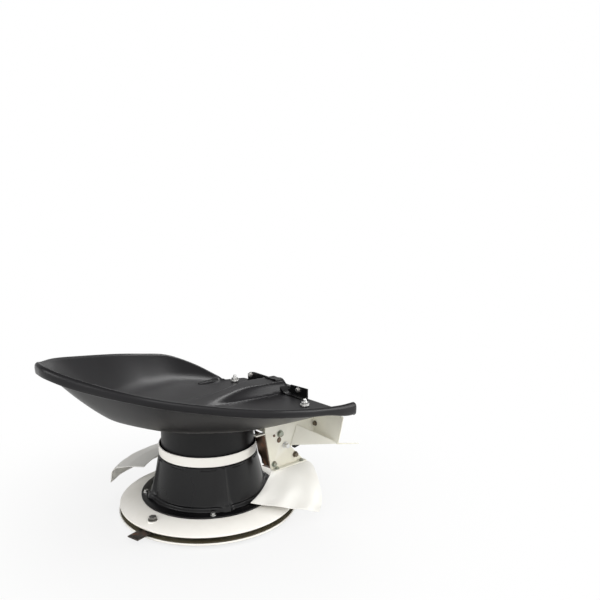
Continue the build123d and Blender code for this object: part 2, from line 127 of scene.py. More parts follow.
white = (1, 1, 1)
floor_half = 9
floor_mesh = bmesh.new()
bmesh.ops.create_grid(floor_mesh, x_segments=1, y_segments=1, size=floor_half)
floor_data = bpy.data.meshes.new("floor")
floor_mesh.to_mesh(floor_data)
floor_mesh.free()
put("floor", floor_data)

floor_finish, tree = new_material("floor_white")
place = tree.node("TexCoord", {}, {}, "Object")
away = tree.node("VectorMath", {"operation": "LENGTH"}, {0: place}, "Value")
seen = tree.node("LightPath", {}, {}, "Is Camera Ray") * tree.ease(away, 0.3, 1.1, 0.8, 1.0)
mirrored = tree.node("LightPath", {}, {}, "Is Glossy Ray") * tree.ease(away, 0.5, 2.2, 0.0, 1.0)
matt = tree.node("BsdfDiffuse", {}, {"Color": (0.72, 0.72, 0.71)})
bright = tree.node("Emission", {}, {"Color": white, "Strength": 1.0})
tree.surface(tree.node("MixShader", {}, {0: seen + mirrored, 1: matt, 2: bright}))
floor_data.materials.append(floor_finish)

world = bpy.data.worlds.new("studio")
bpy.context.scene.world = world
world.use_nodes = True
world.node_tree.nodes.clear()
tree = Wire(world.node_tree)
seen = tree.node("LightPath", {}, {}, "Is Camera Ray")
heading = tree.node("TexCoord", {}, {}, "Generated")
bright_side = (0.20, 0.95, -0.10)
facing = tree.node("VectorMath", {"operation": "DOT_PRODUCT"}, {0: heading, 1: bright_side}, "Value")
glow = tree.ease(facing, -0.3, 0.5, 0.38, 1.35)
sky = tree.node("Background", {}, {"Color": white, "Strength": glow})
paper = tree.node("Background", {}, {"Color": white, "Strength": 1.0})
tree.surface(tree.node("MixShader", {}, {0: seen, 1: sky, 2: paper}), "OutputWorld")


def softbox(name, place, target, width, height, power):
    """A rectangular area lamp that faces a point."""
    lamp = bpy.data.lights.new(name, "AREA")
    lamp.shape = "RECTANGLE"
    lamp.size = width
    lamp.size_y = height
    lamp.energy = power
    aim = Vector(target) - Vector(place)
    turn = aim.to_track_quat("-Z", "Y").to_matrix().to_4x4()
    put(name, lamp).matrix_world = Matrix.Translation(place) @ turn


softbox("softbox_side", (1.2, 1.8, 2.2), (0.05, 0.05, 0.05), 1.8, 1.4, 20)
softbox("softbox_back", (-1.45, -1.45, 2.45), (0.0, -0.05, 0.35), 1.7, 0.55, 24)
softbox("softbox_right", (-2.0, 1.7, 1.2), (0.0, 0.1, 0.2), 0.7, 1.9, 22)
softbox("softbox_front", (2.5, -0.6, 1.1), (0.1, -0.1, 0.05), 1.4, 1.0, 17)

camera_data = bpy.data.cameras.new("camera")
camera_data.sensor_width = 36
camera_data.lens = camera_lens
camera = put("camera", camera_data)
camera.location = camera_place
camera.rotation_euler = (math.radians(90 - camera_pitch), 0, math.radians(camera_yaw - 90))
bpy.context.scene.camera = camera
bpy.context.scene.view_settings.view_transform = "Standard"

# Glide dish: the free-turning shoe under the disc, a shallow steel pan spun to shape
# with a rolled lip, in the machine's cream paint, with painted shade in clouded olive brown where the disc
# covers it.
def turned(outline, steps=160):
    """A bmesh spun about the drum axis from a closed outline of (radius, height) points."""
    mesh = bmesh.new()
    corners = [mesh.verts.new((radius, 0, height)) for radius, height in outline]
    edges = [mesh.edges.new((corners[index - 1], corners[index])) for index in range(len(corners))]
    bmesh.ops.spin(mesh, geom=corners + edges, cent=(0, 0, 0), axis=(0, 0, 1), angle=math.tau,
                   steps=steps, use_merge=True)
    bmesh.ops.remove_doubles(mesh, verts=mesh.verts, dist=1e-6)
    bmesh.ops.recalc_face_normals(mesh, faces=mesh.faces)
    return mesh


def rounded(mesh, edges, width, segments, clamp=True):
    """Rounds some edges of a bmesh."""
    bmesh.ops.bevel(mesh, geom=edges, offset=width, offset_type="OFFSET", affect="EDGES", segments=segments,
                    profile=0.5, material=-1, clamp_overlap=clamp)


def soften(mesh, width, segments=3):
    """Rounds the edges of a bmesh whose faces turn by more than 28 degrees."""
    limit = math.radians(28)
    sharp = [edge for edge in mesh.edges if edge.is_manifold and edge.calc_face_angle(0) > limit]
    rounded(mesh, sharp, width, segments)


def piece(name, mesh, material, body, slot, *nodes):
    """Makes an object of a bmesh, smooth shaded, that rides on a body in place of CAD nodes."""
    data = bpy.data.meshes.new(name)
    mesh.to_mesh(data)
    mesh.free()
    data.shade_smooth()
    made = put(name, data)
    data.materials.append(material)
    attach(made, body)
    if nodes:
        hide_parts(*nodes)
    return made


def cream_paint(name, grime_and_shade, shade_tone=1.0):
    """Satin cream stove paint with a faint orange peel, rubbed edges and patches of dirt. A darker, warmer
    cream and heavier brown patches serve as painted shade on parts under the hood.
    """
    material, tree = new_material(name)
    place = tree.node("TexCoord", {}, {}, "Object")
    cloud = tree.specks(place, 7, 6)
    fine = tree.specks(place, 60, 4)
    edge = tree.node("NewGeometry", {}, {}, "Pointiness")
    worn = tree.node("MapRange", {}, {"Value": edge + fine * 0.03, "From Min": 0.53, "From Max": 0.56})
    patchy = tree.node("MapRange", {}, {"Value": cloud, "From Min": 0.48, "From Max": 0.72, "To Max": grime_and_shade})
    # A factor below 1 darkens and warms the cream: painted shade.
    dull = (0.86 * shade_tone, 0.83 * shade_tone, 0.77 * shade_tone ** 2)
    clean = (0.90 * shade_tone, 0.88 * shade_tone, 0.83 * shade_tone ** 2)
    base = tree.blend(cloud, dull, clean)
    # The brown patches are dirt; heavier, on the plates and guard, they are also painted shade.
    grimed_and_shaded = tree.blend(patchy, base, (0.62, 0.57, 0.48))
    rubbed = tree.blend(worn * 0.35, grimed_and_shaded, (0.92, 0.91, 0.87))
    peel = tree.specks(place, 420, 2)
    bump = tree.node("Bump", {}, {"Strength": 0.06, "Distance": 0.0006, "Height": peel})
    tree.surface(tree.node("BsdfPrincipled", {}, {
        "Base Color": rubbed, "Roughness": fine * 0.14 + 0.3, "Normal": bump}))
    return material


def cream_shaded_under_disc(name, low, high, reach):
    """The cream paint with painted shade, a clouded dark olive brown, between two heights, inside a radius,
    where shade falls under the disc.
    """
    material = cream_paint(name, 0.25)
    tree = Wire(material.node_tree)
    body = next(node for node in material.node_tree.nodes if node.bl_idname == "ShaderNodeBsdfPrincipled")
    paint = Wire(material.node_tree, body.inputs["Base Color"].links[0].from_socket)
    place = tree.node("TexCoord", {}, {}, "Object")
    height = tree.node("SeparateXYZ", {}, {0: place}, "Z")
    flat = tree.node("VectorMath", {"operation": "MULTIPLY"}, {0: place, 1: (1, 1, 0)})
    radius = tree.node("VectorMath", {"operation": "LENGTH"}, {0: flat}, "Value")
    above = tree.math("GREATER_THAN", height, low)
    below = tree.math("LESS_THAN", height, high)
    within = tree.math("LESS_THAN", radius, reach)
    cloud = tree.specks(place, 16, 6)
    # Painted shade: a clouded dark olive brown where shade falls under the disc.
    soil = tree.blend(cloud, (0.10, 0.083, 0.045), (0.22, 0.19, 0.12))
    mixed = tree.blend(above * below * within, paint, soil)
    material.node_tree.links.new(mixed.socket, body.inputs["Base Color"])
    return material


dish_cream = cream_shaded_under_disc("cream_dish", 0.0012, 0.0300, 0.2795)
dish_mesh = turned([
    (0.0176, 0.0), (0.150, 0.0), (0.2805, 0.0107), (0.283, 0.0135), (0.283, 0.0175), (0.2788, 0.0175),
    (0.2788, 0.0160), (0.2796, 0.0142), (0.150, 0.003), (0.042, 0.003), (0.038, 0.030), (0.0176, 0.030)])
soften(dish_mesh, 0.0008)
piece("glide_dish_pan", dish_mesh, dish_cream, "dish", "cream_paint", "glide_dish")

# Cutting disc: a pressed steel cone with a turned-down stiff edge, painted cream. Each
# knife hangs on a pin through a raised boss, with a washer under the pin's head.
def at_bearing(bearing, radius, height):
    """A place at a bearing and a radius round the drum's axis, with its X pointing outwards."""
    return Matrix.Rotation(math.radians(bearing), 4, "Z") @ Matrix.Translation((radius, 0, height))


def stud(mesh, place, low_radius, high_radius, depth, sides=48):
    """Adds a short round or many-sided cone, centred on a place, and returns its vertices."""
    return bmesh.ops.create_cone(mesh, cap_ends=True, segments=sides, radius1=low_radius, radius2=high_radius,
                                 depth=depth, matrix=place)["verts"]


knife_bearings = (13, 193)
pin_circle = 0.245
# On the disc, the inside foot of its turned-down edge gets the same painted shade.
disc_cream = cream_shaded_under_disc("cream_disc", 0.0001, 0.0352, 0.2782)
disc_mesh = turned([
    (0.046, 0.053), (0.219, 0.053), (0.2775, 0.0355), (0.2775, 0.0342), (0.2796, 0.034),
    (0.2800, 0.0362), (0.2800, 0.0385), (0.2780, 0.0402), (0.219, 0.058), (0.046, 0.058)])
for bearing in knife_bearings:
    stud(disc_mesh, at_bearing(bearing, pin_circle, 0.0449), 0.0185, 0.0140, 0.0120)
soften(disc_mesh, 0.0008)
piece("cutting_disc_cone", disc_mesh, disc_cream, "rotor", "cream_paint", "cutting_disc")


def copied(name, width, segments=2):
    """A bmesh of a CAD node's skin with its flat faces joined and its sharp edges rounded."""
    mesh = bmesh.new()
    mesh.from_mesh(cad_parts[name].data)
    bmesh.ops.remove_doubles(mesh, verts=mesh.verts, dist=1e-5)
    bmesh.ops.dissolve_limit(mesh, angle_limit=math.radians(0.6), verts=mesh.verts, edges=mesh.edges)
    soften(mesh, width, segments)
    return mesh


def even(made):
    """Keeps broad flat faces flat beside rounded edges."""
    made.data.set_sharp_from_angle(angle=math.radians(50))
    shading = made.modifiers.new("even", "WEIGHTED_NORMAL")
    shading.keep_sharp = True
    return made


def dressed(name, node, width, material, body, slot, segments=2):
    """A piece in the shape of one CAD node, with rounded edges."""
    return even(piece(name, copied(node, width, segments), material, body, slot, node))


def bare_steel(name, colour, rough, rust):
    """Bright or dark steel with fine scratches and specks of rust."""
    material, tree = new_material(name)
    place = tree.node("TexCoord", {}, {}, "Object")
    cloud = tree.specks(place, 38, 7)
    stretch = tree.node("Mapping", {}, {"Vector": place, "Scale": (900, 60, 900)})
    grain = tree.specks(stretch, 1, 3)
    spots = tree.node("MapRange", {}, {"Value": cloud, "From Min": 0.52, "From Max": 0.66, "To Max": rust})
    worn = tuple(channel * 0.72 for channel in colour)
    base = tree.blend(grain, worn, colour)
    rusty = tree.blend(spots, base, (0.16, 0.065, 0.03))
    bump = tree.node("Bump", {}, {"Strength": 0.15, "Distance": 0.0002, "Height": grain})
    tree.surface(tree.node("BsdfPrincipled", {}, {
        "Base Color": rusty, "Metallic": 1.0 - spots, "Roughness": spots * 0.4 + rough, "Normal": bump}))
    return material


knife_steel = bare_steel("steel_knife", (0.14, 0.12, 0.11), 0.42, 0.75)
zinc_steel = bare_steel("steel_zinc", (0.68, 0.68, 0.66), 0.3, 0.25)
pin_steel = bare_steel("steel_pin", (0.30, 0.29, 0.27), 0.32, 0.5)
turned_steel = bare_steel("steel_turned", (0.56, 0.56, 0.57), 0.28, 0.1)
for end in ("front", "rear"):
    dressed(f"knife_{end}_blade", f"knife_{end}", 0.0009, knife_steel, f"{end}_knife", "knife_steel")
pins = copied("knife_pins", 0.0012)
for bearing in knife_bearings:
    stud(pins, at_bearing(bearing, pin_circle, 0.0515), 0.0145, 0.0140, 0.0032)
even(piece("knife_pin_set", pins, pin_steel, "rotor", "zinc_steel", "knife_pins"))
dressed("rotor_shaft_turned", "rotor_shaft", 0.0012, turned_steel, "rotor", "machined_steel")

# Drum: the flanged cone that carries the cut grass, moulded in glossy black with four
# buttress ribs, bolted to the disc and turning with it.
def black_gloss(name, roughness, dust):
    """Deep black with a soft gloss, a fine grain and a trace of dust."""
    material, tree = new_material(name)
    place = tree.node("TexCoord", {}, {}, "Object")
    cloud = tree.specks(place, 9, 8)
    grain = tree.specks(place, 900, 2)
    film = tree.node("MapRange", {}, {"Value": cloud, "From Min": 0.45, "From Max": 0.8, "To Max": dust})
    base = tree.blend(film, (0.0035, 0.0035, 0.004), (0.018, 0.017, 0.016))
    bump = tree.node("Bump", {}, {"Strength": 0.08, "Distance": 0.0004, "Height": grain})
    tree.surface(tree.node("BsdfPrincipled", {}, {
        "Base Color": base, "Roughness": cloud * 0.16 + roughness, "Normal": bump,
        "Specular IOR Level": 0.3}))
    return material


drum_black = black_gloss("black_drum", 0.2, 0.16)
rib_bearings = (72, 162, 252, 342)
rib_top, rib_knee, rib_foot = 0.187, 0.092, 0.0640
notch_bearings = [19.5 + 36 * index for index in range(10)]
notch_half_turn = 8.8
notch_low, notch_high, notch_depth = 0.1831, 0.1887, 0.003
shoulder_radius, shoulder_height = 0.156, 0.190
wall_spread, wall_drop = 0.020, 0.114
wall_rows = [0.1895, 0.1888, 0.1886, 0.1870, 0.1850, 0.1832, 0.1830, 0.1822]
wall_rows += [0.180 - 0.0025 * step for step in range(40)]
wall_rows += [0.0795, 0.0785]
drum_neck = [(0.044, 0.208), (0.1498, 0.208), (0.1513, 0.2065), (0.1513, 0.1937), (0.1545, 0.1909)]
drum_wall = [(shoulder_radius + wall_spread * (shoulder_height - height) / wall_drop, height)
             for height in wall_rows]
drum_foot = [
    (0.1762, 0.0776), (0.1780, 0.0770), (0.1798, 0.0764), (0.1812, 0.0753), (0.1820, 0.0736),
    (0.1824, 0.0700), (0.1828, 0.0665), (0.1836, 0.0648), (0.1856, 0.0637)]
drum_flange_and_inside = [
    (0.1900, 0.0633), (0.2110, 0.0630), (0.2126, 0.0625), (0.2130, 0.0610), (0.2128, 0.0582), (0.046, 0.0582),
    (0.046, 0.062), (0.172, 0.062), (0.172, 0.076), (0.1473, 0.190), (0.1473, 0.204), (0.044, 0.204)]
drum_profile = drum_neck + drum_wall + drum_foot + drum_flange_and_inside
ribbed_rows = range(len(drum_neck), len(drum_profile) - len(drum_flange_and_inside))


def smooth(value):
    """A step from 0 to 1 with level ends."""
    value = min(max(value, 0.0), 1.0)
    return value * value * (3 - 2 * value)


def turn_between(bearing, centre):
    """The turn from one bearing to another, from -180 to 180 degrees."""
    return (bearing - centre + 180) % 360 - 180


def rib_lift(bearing, radius, height):
    """How far a buttress rib stands out from the wall: a flat ridge between two hollow flanks."""
    if height > rib_top or height < rib_foot:
        return 0
    if height > rib_knee:
        share = (rib_top - height) / (rib_top - rib_knee)
        ridge, spread = 0.159 + 0.024 * share, 0.020 + 0.012 * share
    else:
        share = (rib_knee - height) / (rib_knee - rib_foot)
        ridge, spread = 0.183 + 0.011 * share, 0.032 + 0.012 * share
    if height < 0.08:
        ridge += 0.004
    lift = 0
    flat = 0.0048 + 0.0030 * smooth((0.110 - height) / 0.040)
    for centre in rib_bearings:
        across = math.radians(turn_between(bearing, centre)) * radius
        width = spread if across < 0 else 0.7 * spread
        away = max(abs(across) - flat, 0) / (width - flat)
        if away < 1:
            lift = max(lift, (ridge - radius) * (1 - away) ** 2.1)
    return lift


drum_steps = 720
drum_mesh = bmesh.new()
bmesh.ops.create_grid(drum_mesh, x_segments=drum_steps, y_segments=len(drum_profile), size=0.5)
for vert in drum_mesh.verts:
    bearing = (vert.co.x + 0.5) * 360 % 360
    index = round((vert.co.y + 0.5) * len(drum_profile)) % len(drum_profile)
    radius, height = drum_profile[index]
    if index in ribbed_rows:
        radius += rib_lift(bearing, radius, height)
        sunk = any(abs(turn_between(bearing, centre)) < notch_half_turn for centre in notch_bearings)
        if sunk and notch_low < height < notch_high:
            radius -= notch_depth
    angle = math.radians(bearing)
    vert.co = (radius * math.cos(angle), radius * math.sin(angle), height)
bmesh.ops.remove_doubles(drum_mesh, verts=drum_mesh.verts, dist=1e-6)
bmesh.ops.recalc_face_normals(drum_mesh, faces=drum_mesh.faces)
piece("drum_cone", drum_mesh, drum_black, "rotor", "black_paint", "drum_shell")


def bolt(mesh, place, across, height):
    """Adds a hexagon head on a round washer, standing along a place's Z."""
    seat = height * 0.22
    for radius, low, high, sides in ((across * 0.72, 0.0, seat, 32), (across * 0.57, seat, height, 6)):
        middle = place @ Matrix.Translation((0, 0, (low + high) / 2))
        made = stud(mesh, middle, radius, radius, high - low, sides)
        edges = dict.fromkeys(edge for vert in made for edge in vert.link_edges
                              if edge.calc_face_angle(0) > 0.5)
        rounded(mesh, list(edges), height * 0.09, 2, clamp=False)


flange_bolts = bmesh.new()
for bearing in (59, 149, 239, 329):
    bolt(flange_bolts, at_bearing(bearing, 0.198, 0.0629), 0.013, 0.008)
even(piece("drum_flange_bolts", flange_bolts, zinc_steel, "rotor", "zinc_steel"))

# Band: a rolled steel hoop, painted cream, shrunk on the drum's neck. The fixed black
# collar dips into it and keeps the cut grass off the drive.
band_mesh = turned([(0.1515, 0.194), (0.155, 0.194), (0.155, 0.224), (0.1515, 0.224)], 200)
soften(band_mesh, 0.0011)
even(piece("drum_band_hoop", band_mesh, cream_paint("cream_band", 0.12), "rotor", "cream_paint", "drum_band"))
collar_black = black_gloss("black_collar", 0.36, 0.3)
dressed("collar_shroud", "collar", 0.0008, collar_black, "frame", "black_paint")

# Gearbox: a cast housing under the hood with a long neck to the rear, the flange at the
# neck's end and the claw of the input shaft inside it.
def cast_iron(name):
    """Black painted casting: a sandy skin, clouded with dust."""
    material, tree = new_material(name)
    place = tree.node("TexCoord", {}, {}, "Object")
    sand = tree.specks(place, 260, 6)
    cloud = tree.specks(place, 12, 5)
    base = tree.blend(cloud, (0.022, 0.022, 0.024), (0.06, 0.058, 0.055))
    bump = tree.node("Bump", {}, {"Strength": 0.4, "Distance": 0.0006, "Height": sand})
    tree.surface(tree.node("BsdfPrincipled", {}, {
        "Base Color": base, "Roughness": sand * 0.2 + 0.42, "Normal": bump}))
    return material


casting = cast_iron("iron_casting")
dressed("gearbox_casting", "gearbox", 0.002, casting, "frame", "cast_housing")
dressed("coupling_flange_plate", "coupling_flange", 0.0014, casting, "frame", "cast_housing")
dressed("input_shaft_claw", "input_shaft", 0.0012, turned_steel, "input", "machined_steel")

# Hood: the scoop over the drum, thermoformed from thick black sheet. A flat deck bolts to
# the cheek plates, the walls sweep up to a nose ahead of the disc, and a rolled lip runs
# round the rim. The left wall reaches further back than the right.
hood_centre = Vector((-0.020, 0, 0))
hood_wall = 0.0045
lip_roll = 0.009
deck_level, deck_slope = 0.340, 0.050
bowl_low, bowl_flat, bowl_blend = 0.290, 0.150, 0.024
left_power, right_power, nose_power = 1.55, 1.75, 1.8
tunnel_rise, tunnel_y, tunnel_half = 0.036, -0.026, 0.060
tunnel_front, tunnel_run = 0.060, 0.260
left_rim = [(0.529, 0, 0.561), (0.474, 0.124, 0.535), (0.374, 0.272, 0.505), (0.236, 0.359, 0.473),
            (0.099, 0.413, 0.446), (-0.006, 0.4257, 0.427), (-0.110, 0.421, 0.408), (-0.190, 0.417, 0.397),
            (-0.258, 0.409, 0.392)]
right_rim = [(0.527, 0, 0.561), (0.515, -0.062, 0.556), (0.478, -0.128, 0.539), (0.374, -0.272, 0.505),
             (0.236, -0.359, 0.473), (0.099, -0.413, 0.446), (-0.006, -0.426, 0.427), (-0.110, -0.414, 0.408),
             (-0.180, -0.338, 0.377), (-0.214, -0.226, 0.346)]


def deck_height(x):
    """The height of the deck, which climbs a little to the front."""
    return deck_level + deck_slope * x


def on_deck(x, y, below):
    """A point a little below the deck."""
    return (x, y, deck_height(x) - below)


def through(points, steps, first, last):
    """Points along a smooth curve through a list of points, with its end tangents' directions."""
    knots = [Vector(point) for point in points]
    before = knots[1] - 2 * (knots[1] - knots[0]).length * Vector(first)
    after = knots[-2] + 2 * (knots[-1] - knots[-2]).length * Vector(last)
    knots = [before] + knots + [after]
    found = []
    for index in range(1, len(knots) - 2):
        a, b, c, d = knots[index - 1:index + 3]
        for step in range(steps):
            t = step / steps
            found.append(0.5 * (2 * b + (c - a) * t + (2 * a - 5 * b + 4 * c - d) * t ** 2
                                + (3 * b - a - 3 * c + d) * t ** 3))
    return found + [knots[-2]]


def straight(start, end, steps):
    """Evenly spaced points on a line, without its start."""
    return [Vector(start).lerp(Vector(end), step / steps) for step in range(1, steps + 1)]


left_side = through(left_rim, 12, (0, 1, 0), (-1, -0.1, -0.06))
right_side = through(right_rim, 12, (0, -1, 0), (-0.2, 1, -0.2))
outline = list(reversed(left_side)) + right_side[1:]
lip_share = [1.0] * len(outline)
start = outline[-1]
for end, steps, lipped in (
        (on_deck(-0.222, -0.222, 0.008), 3, 0), (on_deck(-0.310, -0.212, 0.020), 16, 0),
        (on_deck(-0.310, 0.258, 0.012), 60, 0), (on_deck(-0.306, 0.290, 0.004), 6, 0),
        ((-0.285, 0.345, 0.354), 10, 0), (outline[0], 12, 6)):
    outline += straight(start, end, steps)
    lip_share += [0.0] * (steps - lipped) + [1.0] * lipped
    start = end
outline.pop()
lip_share.pop()
rim_count = len(outline)


def relaxed(values):
    """A closed row of values, each drawn three times to its neighbours' middle."""
    for _ in range(3):
        values = [(values[index - 1] + 2 * value + values[(index + 1) % len(values)]) / 4
                  for index, value in enumerate(values)]
    return values


outline = relaxed(outline)
lip_share = relaxed(lip_share)
outward = []
for index in range(rim_count):
    run = outline[(index + 1) % rim_count] - outline[index - 1]
    outward.append(Vector((-run.y, run.x, 0)).normalized())


def hood_surface(index, share):
    """A point of the hood's upper face, a share of the way from the centre to a rim point."""
    rim = outline[index] - outward[index] * lip_roll * lip_share[index]
    point = hood_centre.lerp(Vector((rim.x, rim.y, 0)), share)
    reach = Vector((rim.x - hood_centre.x, rim.y))
    facing = reach.x / reach.length
    side_power = left_power if rim.y > 0 else right_power
    power = side_power + (nose_power - side_power) * smooth((facing + 0.2) / 0.9)
    inner = bowl_flat / reach.length
    bowl = bowl_low + (rim.z - bowl_low) * (max(share - inner, 0) / (1 - inner)) ** power
    deck = deck_height(point.x)
    mix = min(max(0.5 + 0.5 * (bowl - deck) / bowl_blend, 0), 1)
    height = deck * (1 - mix) + bowl * mix + bowl_blend * mix * (1 - mix)
    lengthwise = smooth((tunnel_front - point.x) / tunnel_run)
    across = max(0, 1 - ((point.y - tunnel_y) / tunnel_half) ** 2)
    crown = 1.6 - 0.55 * smooth((point.x + 0.255) / 0.130)
    return Vector((point.x, point.y, height + tunnel_rise * lengthwise * smooth(across * crown)))


def grown(mesh, edges):
    """Extrudes a run of edges and returns the new run and its vertices."""
    made = bmesh.ops.extrude_edge_only(mesh, edges=edges)["geom"]
    verts = {part for part in made if isinstance(part, bmesh.types.BMVert)}
    run = [part for part in made if isinstance(part, bmesh.types.BMEdge) and verts.issuperset(part.verts)]
    return run, verts


def thicken(made, thickness, offset=-1):
    """Gives a sheet its thickness."""
    wall = made.modifiers.new("wall", "SOLIDIFY")
    wall.thickness = thickness
    wall.offset = offset


ring_count = 56
eye_share = 0.02
hood_mesh = bmesh.new()
bmesh.ops.create_grid(hood_mesh, x_segments=rim_count, y_segments=ring_count, size=0.5)
rim_index = hood_mesh.verts.layers.int.new("rim_index")
for vert in hood_mesh.verts:
    index = round((vert.co.x + 0.5) * rim_count) % rim_count
    vert[rim_index] = index
    vert.co = hood_surface(index, eye_share + (1 - eye_share) * (vert.co.y + 0.5))
bmesh.ops.remove_doubles(hood_mesh, verts=hood_mesh.verts, dist=1e-6)
eye = [edge for edge in hood_mesh.edges if edge.is_boundary and edge.verts[0].co.xy.length < 0.08]
bmesh.ops.contextual_create(hood_mesh, geom=eye)
rim_edges = [edge for edge in hood_mesh.edges if edge.is_boundary]
roll_turns = [math.pi / 2 * step / 5 for step in range(1, 6)]
lip_profile = [(math.sin(turn) * lip_roll, (math.cos(turn) - 1) * lip_roll) for turn in roll_turns]
lip_profile += [(lip_roll, -0.015), (lip_roll - 0.001, -0.022), (lip_roll - 0.004, -0.024)]
left_rear_drop, nose_drop = 0.55, 0.3
lip_drop = [1 + left_rear_drop * smooth((-0.12 - point.x) / 0.12) * (point.y > 0)
            + nose_drop * smooth((point.x - 0.38) / 0.12) for point in outline]
last_out, last_down = 0.0, 0.0
for out, down in lip_profile:
    rim_edges, new_verts = grown(hood_mesh, rim_edges)
    for vert in new_verts:
        index = vert[rim_index]
        share = lip_share[index]
        fall = (down - last_down) * max(share, 0.01) * lip_drop[index]
        vert.co += outward[index] * (out - last_out) * share + Vector((0, 0, fall))
    last_out, last_down = out, down
bmesh.ops.recalc_face_normals(hood_mesh, faces=hood_mesh.faces)


def hood_plastic():
    """Charcoal thermoformed sheet: a fine leather grain, a soft sheen, faint clouds."""
    material, tree = new_material("hood_plastic")
    place = tree.node("TexCoord", {}, {}, "Object")
    cloud = tree.specks(place, 5, 7)
    grain = tree.node("TexVoronoi", {}, {"Vector": place, "Scale": 620})
    fine = tree.specks(place, 340, 3)
    base = tree.blend(cloud, (0.0045, 0.0042, 0.0049), (0.0085, 0.0078, 0.0092))
    bump = tree.node("Bump", {}, {"Strength": 0.1, "Distance": 0.0002, "Height": grain + fine})
    tree.surface(tree.node("BsdfPrincipled", {}, {
        "Base Color": base, "Roughness": cloud * 0.1 + 0.26, "Normal": bump,
        "Specular IOR Level": 0.25}))
    return material


hood_black = hood_plastic()
hood = piece("hood_scoop", hood_mesh, hood_black, "frame", "black_plastic", "hood")
thicken(hood, hood_wall)

# Slot moulded at the foot of the hood's right wall: a raised bead that lies on the hood's
# skin, round a near-black face that is painted shade for the inside of the slot.
slot_half, slot_radius = 0.0305, 0.0066
slot_place = Matrix.Translation((-0.158, -0.223, 0)) @ Matrix.Rotation(math.radians(-7.6), 4, "Z")
skin_gap = 0.0003
slot_bead = bmesh.new()
bmesh.ops.create_circle(slot_bead, segments=40, radius=slot_radius)
for vert in slot_bead.verts:
    vert.co.x += math.copysign(slot_half, vert.co.x)
loop = list(slot_bead.edges)
bmesh.ops.contextual_create(slot_bead, geom=loop)
last_wider = 0.0
for wider, rise in ((0.0003, 0.0012), (0.0012, 0.0022), (0.0022, 0.0016), (0.0032, 0.0)):
    loop, new_verts = grown(slot_bead, loop)
    for vert in new_verts:
        arm = Vector((vert.co.x - math.copysign(slot_half, vert.co.x), vert.co.y))
        vert.co.xy += arm.normalized() * (wider - last_wider)
        vert.co.z = rise
    last_wider = wider
bmesh.ops.transform(slot_bead, matrix=slot_place, verts=slot_bead.verts)
hood_skin = BVHTree.FromObject(hood, bpy.context.evaluated_depsgraph_get())
for vert in slot_bead.verts:
    found = hood_skin.ray_cast(Vector((vert.co.x, vert.co.y, 1)), Vector((0, 0, -1)))[0]
    vert.co.z += found.z + skin_gap
# The slot's floor is painted shade: a near-black face where the inside of the slot lies in shadow.
slot_shade, tree = new_material("slot_shade")
place = tree.node("TexCoord", {}, {}, "Object")
shade = tree.blend(tree.specks(place, 300, 3), (0.002, 0.002, 0.002), (0.008, 0.008, 0.008))
tree.surface(tree.node("BsdfPrincipled", {}, {"Base Color": shade, "Roughness": 0.6}))
bmesh.ops.recalc_face_normals(slot_bead, faces=slot_bead.faces)
bead = piece("hood_slot_bead", slot_bead, hood_black, "frame", "black_plastic")
bead.data.materials.append(slot_shade)
for polygon in bead.data.polygons:
    polygon.material_index = 1 if len(polygon.vertices) > 4 else 0

# Cheek plates: laser-cut steel, folded into a foot below and a flange under the deck,
# painted cream, with a braced guard behind. A square beam between them carries the
# gearbox's neck in a saddle. Their fasteners are zinc plated, some of them rusty.
# The plates, beam and guard get a darker, warmer cream with heavier brown patches: painted shade for the
# shadow under the hood, over some dirt.
plate_cream_painted_shade = cream_paint("cream_plate_painted_shade", 0.5, 0.90)
guard_cream_painted_shade = cream_paint("cream_guard_painted_shade", 0.45, 0.88)
for side in ("left", "right"):
    dressed(f"side_plate_{side}_folded", f"side_plate_{side}", 0.0012, plate_cream_painted_shade, "frame", "cream_paint")
dressed("cross_beam_saddle", "cross_beam", 0.0018, plate_cream_painted_shade, "frame", "cream_paint")
dressed("rear_guard_braced", "rear_guard", 0.0008, guard_cream_painted_shade, "frame", "cream_paint")

plate_face = 0.1826
foot_top, foot_bolt_y = 0.1501, 0.1915
rimmed_hole = Vector((-0.147, 0.258))
forward = Matrix.Rotation(math.radians(90), 4, "Y")
green_bolts, white_bolts, rusty_bolts = bmesh.new(), bmesh.new(), bmesh.new()
for side in (1, -1):
    outwards = Matrix.Rotation(math.radians(-90 * side), 4, "X")
    for mesh, x, z, across, height in (
            (white_bolts, -0.168, 0.216, 0.015, 0.016), (green_bolts, *rimmed_hole, 0.0165, 0.009),
            (green_bolts, -0.122, 0.165, 0.013, 0.008), (rusty_bolts, -0.210, 0.174, 0.014, 0.009),
            (rusty_bolts, -0.143, 0.238, 0.012, 0.003), (rusty_bolts, -0.123, 0.257, 0.006, 0.003)):
        bolt(mesh, Matrix.Translation((x, side * plate_face, z)) @ outwards, across, height)
    for x in (-0.128, -0.228):
        bolt(green_bolts, Matrix.Translation((x, side * foot_bolt_y, foot_top)), 0.010, 0.006)
bolt(rusty_bolts, Matrix.Translation((-0.2884, 0.193, 0.262)) @ forward, 0.012, 0.007)
green_zinc = bare_steel("steel_green_zinc", (0.42, 0.45, 0.38), 0.38, 0.35)
white_zinc = bare_steel("steel_white_zinc", (0.86, 0.86, 0.84), 0.34, 0.12)
rusty_steel = bare_steel("steel_rusty", (0.22, 0.19, 0.15), 0.5, 0.9)
even(piece("plate_bolts", green_bolts, green_zinc, "frame", "zinc_steel"))
even(piece("plate_pins", white_bolts, white_zinc, "frame", "zinc_steel"))
even(piece("plate_bolts_rusty", rusty_bolts, rusty_steel, "frame", "zinc_steel"))

